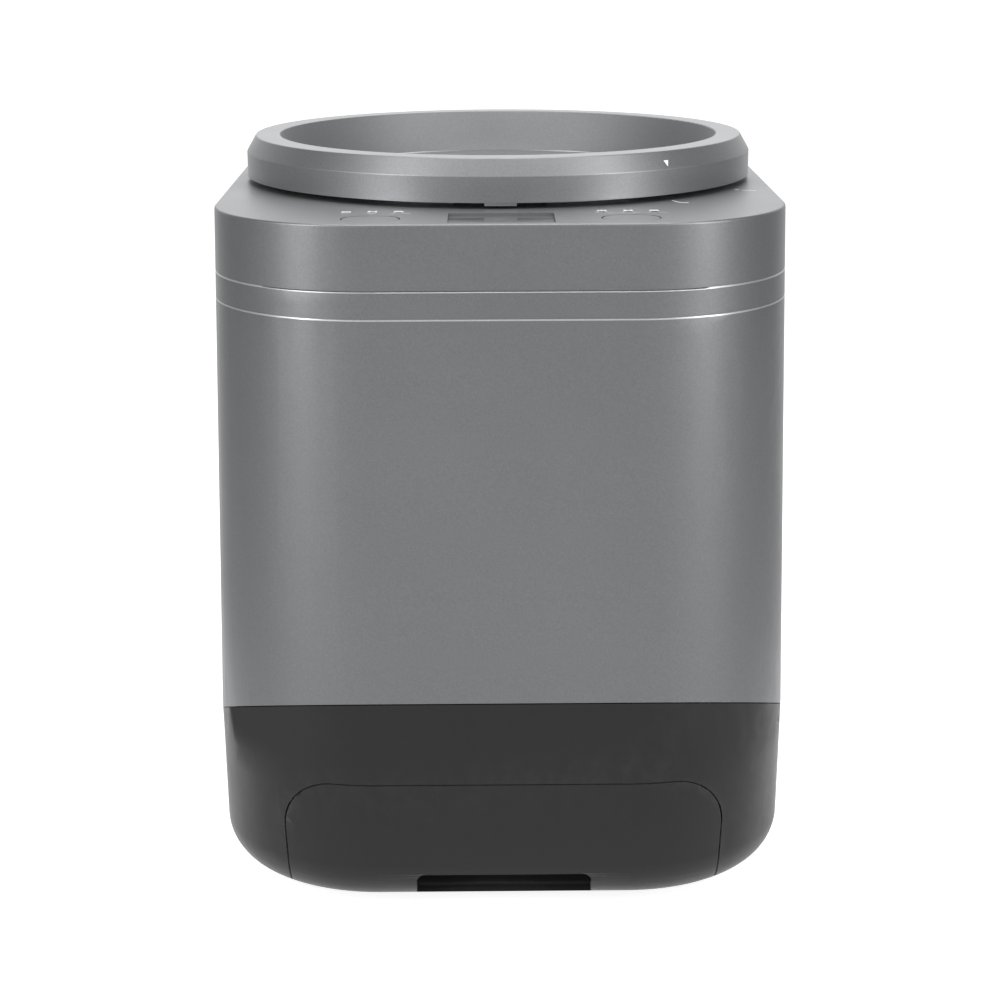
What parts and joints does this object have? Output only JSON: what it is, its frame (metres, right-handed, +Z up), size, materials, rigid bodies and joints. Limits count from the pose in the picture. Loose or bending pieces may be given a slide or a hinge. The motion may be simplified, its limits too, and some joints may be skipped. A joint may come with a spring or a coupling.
{
  "type": "electric food waste composter",
  "caption": "Upright electric food waste composter: round twist-and-lift lid, heated and stirred bucket, sunk display and keys on a flat deck, pull-out filter drawer in a dark base.",
  "frame": {"origin": "on the table, under the middle of the body", "axes": "+Z up; -Y out through the drawer's front and the control deck's side; +X to the right seen from the front"},
  "size_m": [0.2768, 0.3194, 0.353],
  "materials": {
    "shell_paint": "fine metallic grey paint, satin",
    "base_plastic": "dark charcoal, satin",
    "key_plastic": "grey, satin",
    "window_plastic": "smoked, glossy",
    "light_plastic": "milky, satin",
    "inner_plastic": "black, fine grain",
    "case_plastic": "pale grey, matt",
    "vent_plastic": "black, satin",
    "carbon": "granular carbon",
    "rubber": "black, matt",
    "seal_rubber": "grey silicone",
    "coated_aluminium": "dark non-stick coat",
    "bare_aluminium": "spun",
    "steel": "zinc plated or ground",
    "cast_blades": "cast, coated",
    "gear_plastic": "natural nylon",
    "gearbox_plastic": "glass filled black",
    "insulation": "needled felt",
    "sensor": "plated",
    "board": "solder mask",
    "board_parts": "moulded"
  },
  "bodies": {
    "housing": {"base_shell": "base_plastic", "board_screws": "steel", "bucket": "coated_aluminium", "bucket_grips": "steel", "chamber_liner": "bare_aluminium", "chassis_plate": "steel", "control_board": "board", "display_module": "board_parts", "display_window": "window_plastic", "drawer_magnet": "inner_plastic", "drawer_rails": "inner_plastic", "exhaust_duct": "inner_plastic", "fan_frame": "vent_plastic", "gearbox_lower": "gearbox_plastic", "gearbox_upper": "gearbox_plastic", "heater_band": "bare_aluminium", "idler_pin": "steel", "insulation_jacket": "insulation", "key_switches": "board_parts", "lid_switch": "inner_plastic", "light_pipes": "light_plastic", "liner_posts": "steel", "lock_collar": "steel", "main_board": "board", "main_board_parts": "board_parts", "motor_can": "steel", "motor_cap": "gearbox_plastic", "outer_shell": "shell_paint", "power_inlet": "vent_plastic", "rear_grille": "vent_plastic", "rubber_feet": "rubber", "shaft_bearings": "steel", "shaft_seal": "seal_rubber", "temperature_sensor": "sensor", "tie_screws": "steel", "top_cover": "shell_paint"},
    "lid_plate": {"lid_dish_floor": "shell_paint", "lid_seal_plate": "inner_plastic", "lid_gasket": "seal_rubber", "lid_screws": "steel"},
    "lid_ring": {"lid_ring": "shell_paint"},
    "agitator": {"agitator_blades": "cast_blades", "agitator_shaft": "steel", "drive_socket": "cast_blades", "output_gear": "gear_plastic", "output_shaft": "steel"},
    "idler": {"idler_wheel": "gear_plastic", "idler_pinion": "gear_plastic"},
    "rotor": {"motor_pinion": "steel", "motor_rotor": "steel"},
    "fan": {"fan_impeller": "vent_plastic"},
    "drawer": {"drawer_front": "base_plastic", "drawer_tray": "inner_plastic", "drawer_screws": "steel", "filter_cases": "case_plastic", "carbon_packs": "carbon", "filter_lids": "inner_plastic", "strike_plate": "steel"},
    "key_left": {"key_left": "key_plastic"},
    "key_right": {"key_right": "key_plastic"}
  },
  "joints": [
    {"name": "lid_lift", "type": "slide", "parent": "housing", "child": "lid_plate", "axis": [0, 0, 1], "range_m": [0, 0.06]},
    {"name": "lid_twist", "type": "hinge", "parent": "lid_plate", "child": "lid_ring", "pos_m": [0, 0.0213, 0.33], "axis": [0, 0, 1], "range_deg": [0, 25]},
    {"name": "agitator_spin", "type": "hinge", "parent": "housing", "child": "agitator", "pos_m": [0, 0.0213, 0.17], "axis": [0, 0, 1], "continuous": true},
    {"name": "idler_spin", "type": "hinge", "parent": "housing", "child": "idler", "pos_m": [-0.02789, -0.03852, 0.09], "axis": [0, 0, 1], "continuous": true},
    {"name": "rotor_spin", "type": "hinge", "parent": "housing", "child": "rotor", "pos_m": [-0.05156, -0.08927, 0.12], "axis": [0, 0, 1], "continuous": true},
    {"name": "fan_spin", "type": "hinge", "parent": "housing", "child": "fan", "pos_m": [-0.02, 0.124, 0.039], "axis": [0, 1, 0], "continuous": true},
    {"name": "drawer_slide", "type": "slide", "parent": "housing", "child": "drawer", "axis": [0, -1, 0], "range_m": [0, 0.18]},
    {"name": "key_left_press", "type": "slide", "parent": "housing", "child": "key_left", "axis": [0, 0, -1], "range_m": [0, 0.001], "stiffness_N_per_m": 400, "springref_m": -0.001},
    {"name": "key_right_press", "type": "slide", "parent": "housing", "child": "key_right", "axis": [0, 0, -1], "range_m": [0, 0.001], "stiffness_N_per_m": 400, "springref_m": -0.001}
  ],
  "couplings": [
    {"joint": "idler_spin", "follows": "agitator_spin", "ratio": -3.7143},
    {"joint": "rotor_spin", "follows": "agitator_spin", "ratio": 13.619}
  ]
}
